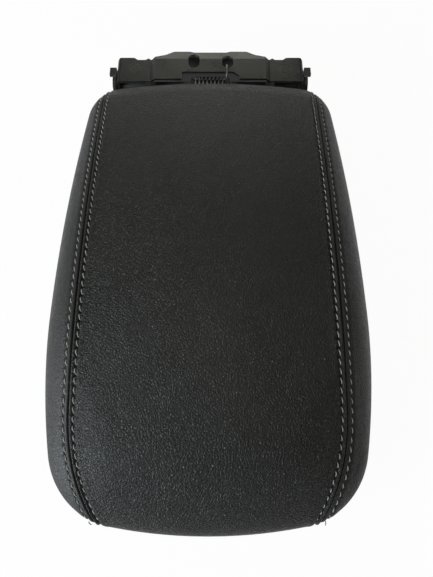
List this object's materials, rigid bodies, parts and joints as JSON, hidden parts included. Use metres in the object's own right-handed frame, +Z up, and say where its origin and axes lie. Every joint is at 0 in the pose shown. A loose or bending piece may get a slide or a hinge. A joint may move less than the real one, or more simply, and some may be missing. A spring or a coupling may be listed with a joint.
{
  "type": "car centre armrest",
  "caption": "Padded leather armrest lid for a car console, with a sprung rear hinge, a stamped mounting bracket and a front finger latch.",
  "frame": {"origin": "middle of the bounding box at the surface that the lid lies on", "axes": "+X across the car to the right seen from behind the front edge, +Y from the front edge to the hinge, +Z up through the padding"},
  "size_m": [0.1952, 0.3286, 0.058],
  "materials": {
    "panel_leather": "grained leather, black, satin",
    "side_leather": "smooth leather, black, satin",
    "foam": "moulded foam, matt",
    "carrier_plastic": "moulded, plain matt",
    "panel_plastic": "moulded, fine grain",
    "latch_plastic": "moulded, satin",
    "bracket_steel": "black electrocoat, satin",
    "arm_steel": "black electrocoat, satin",
    "pin_steel": "black oxide, satin",
    "stud_steel": "zinc plated",
    "zinc_steel": "zinc plated",
    "black_screws": "black oxide",
    "spring_steel": "drawn spring wire",
    "spring_clip": "phosphated",
    "bush_plastic": "moulded, plain",
    "spool_plastic": "moulded, plain",
    "buffer_rubber": "matt",
    "stop_rubber": "matt"
  },
  "bodies": {
    "lid": {"cover_centre_panel": "panel_leather", "cover_left_panel": "side_leather", "cover_right_panel": "side_leather", "foam_pad": "foam", "lid_carrier": "carrier_plastic", "cover_staples": "zinc_steel", "inner_panel": "panel_plastic", "inner_panel_screws": "black_screws", "buffer_front_left": "buffer_rubber", "buffer_front_right": "buffer_rubber", "buffer_rear_left": "buffer_rubber", "buffer_rear_right": "buffer_rubber", "latch_bezel": "panel_plastic", "latch_pin": "zinc_steel", "latch_spring": "spring_steel", "hinge_arm_left": "arm_steel", "hinge_arm_right": "arm_steel", "arm_screws": "zinc_steel", "stop_buffer_left": "stop_rubber", "stop_buffer_right": "stop_rubber", "bush_left": "bush_plastic", "bush_right": "bush_plastic", "torsion_spring": "spring_steel"},
    "bracket": {"console_bracket": "bracket_steel", "weld_stud_left": "stud_steel", "weld_stud_right": "stud_steel", "hinge_pin": "pin_steel", "pin_clip": "spring_clip", "spring_spool": "spool_plastic"},
    "latch": {"latch_lever": "latch_plastic"}
  },
  "joints": [
    {"name": "lid_hinge", "type": "hinge", "parent": "lid", "child": "bracket", "pos_m": [0, 0.1432, 0.0225], "axis": [-1, 0, 0], "range_deg": [0, 92], "stiffness_Nm_per_rad": 0.3, "springref_deg": -28.65, "deforming": ["torsion_spring"]},
    {"name": "latch_pivot", "type": "hinge", "parent": "lid", "child": "latch", "pos_m": [0, -0.1247, 0.0074], "axis": [-1, 0, 0], "range_deg": [0, 12], "stiffness_Nm_per_rad": 0.15, "springref_deg": -17.19, "deforming": ["latch_spring"]}
  ]
}
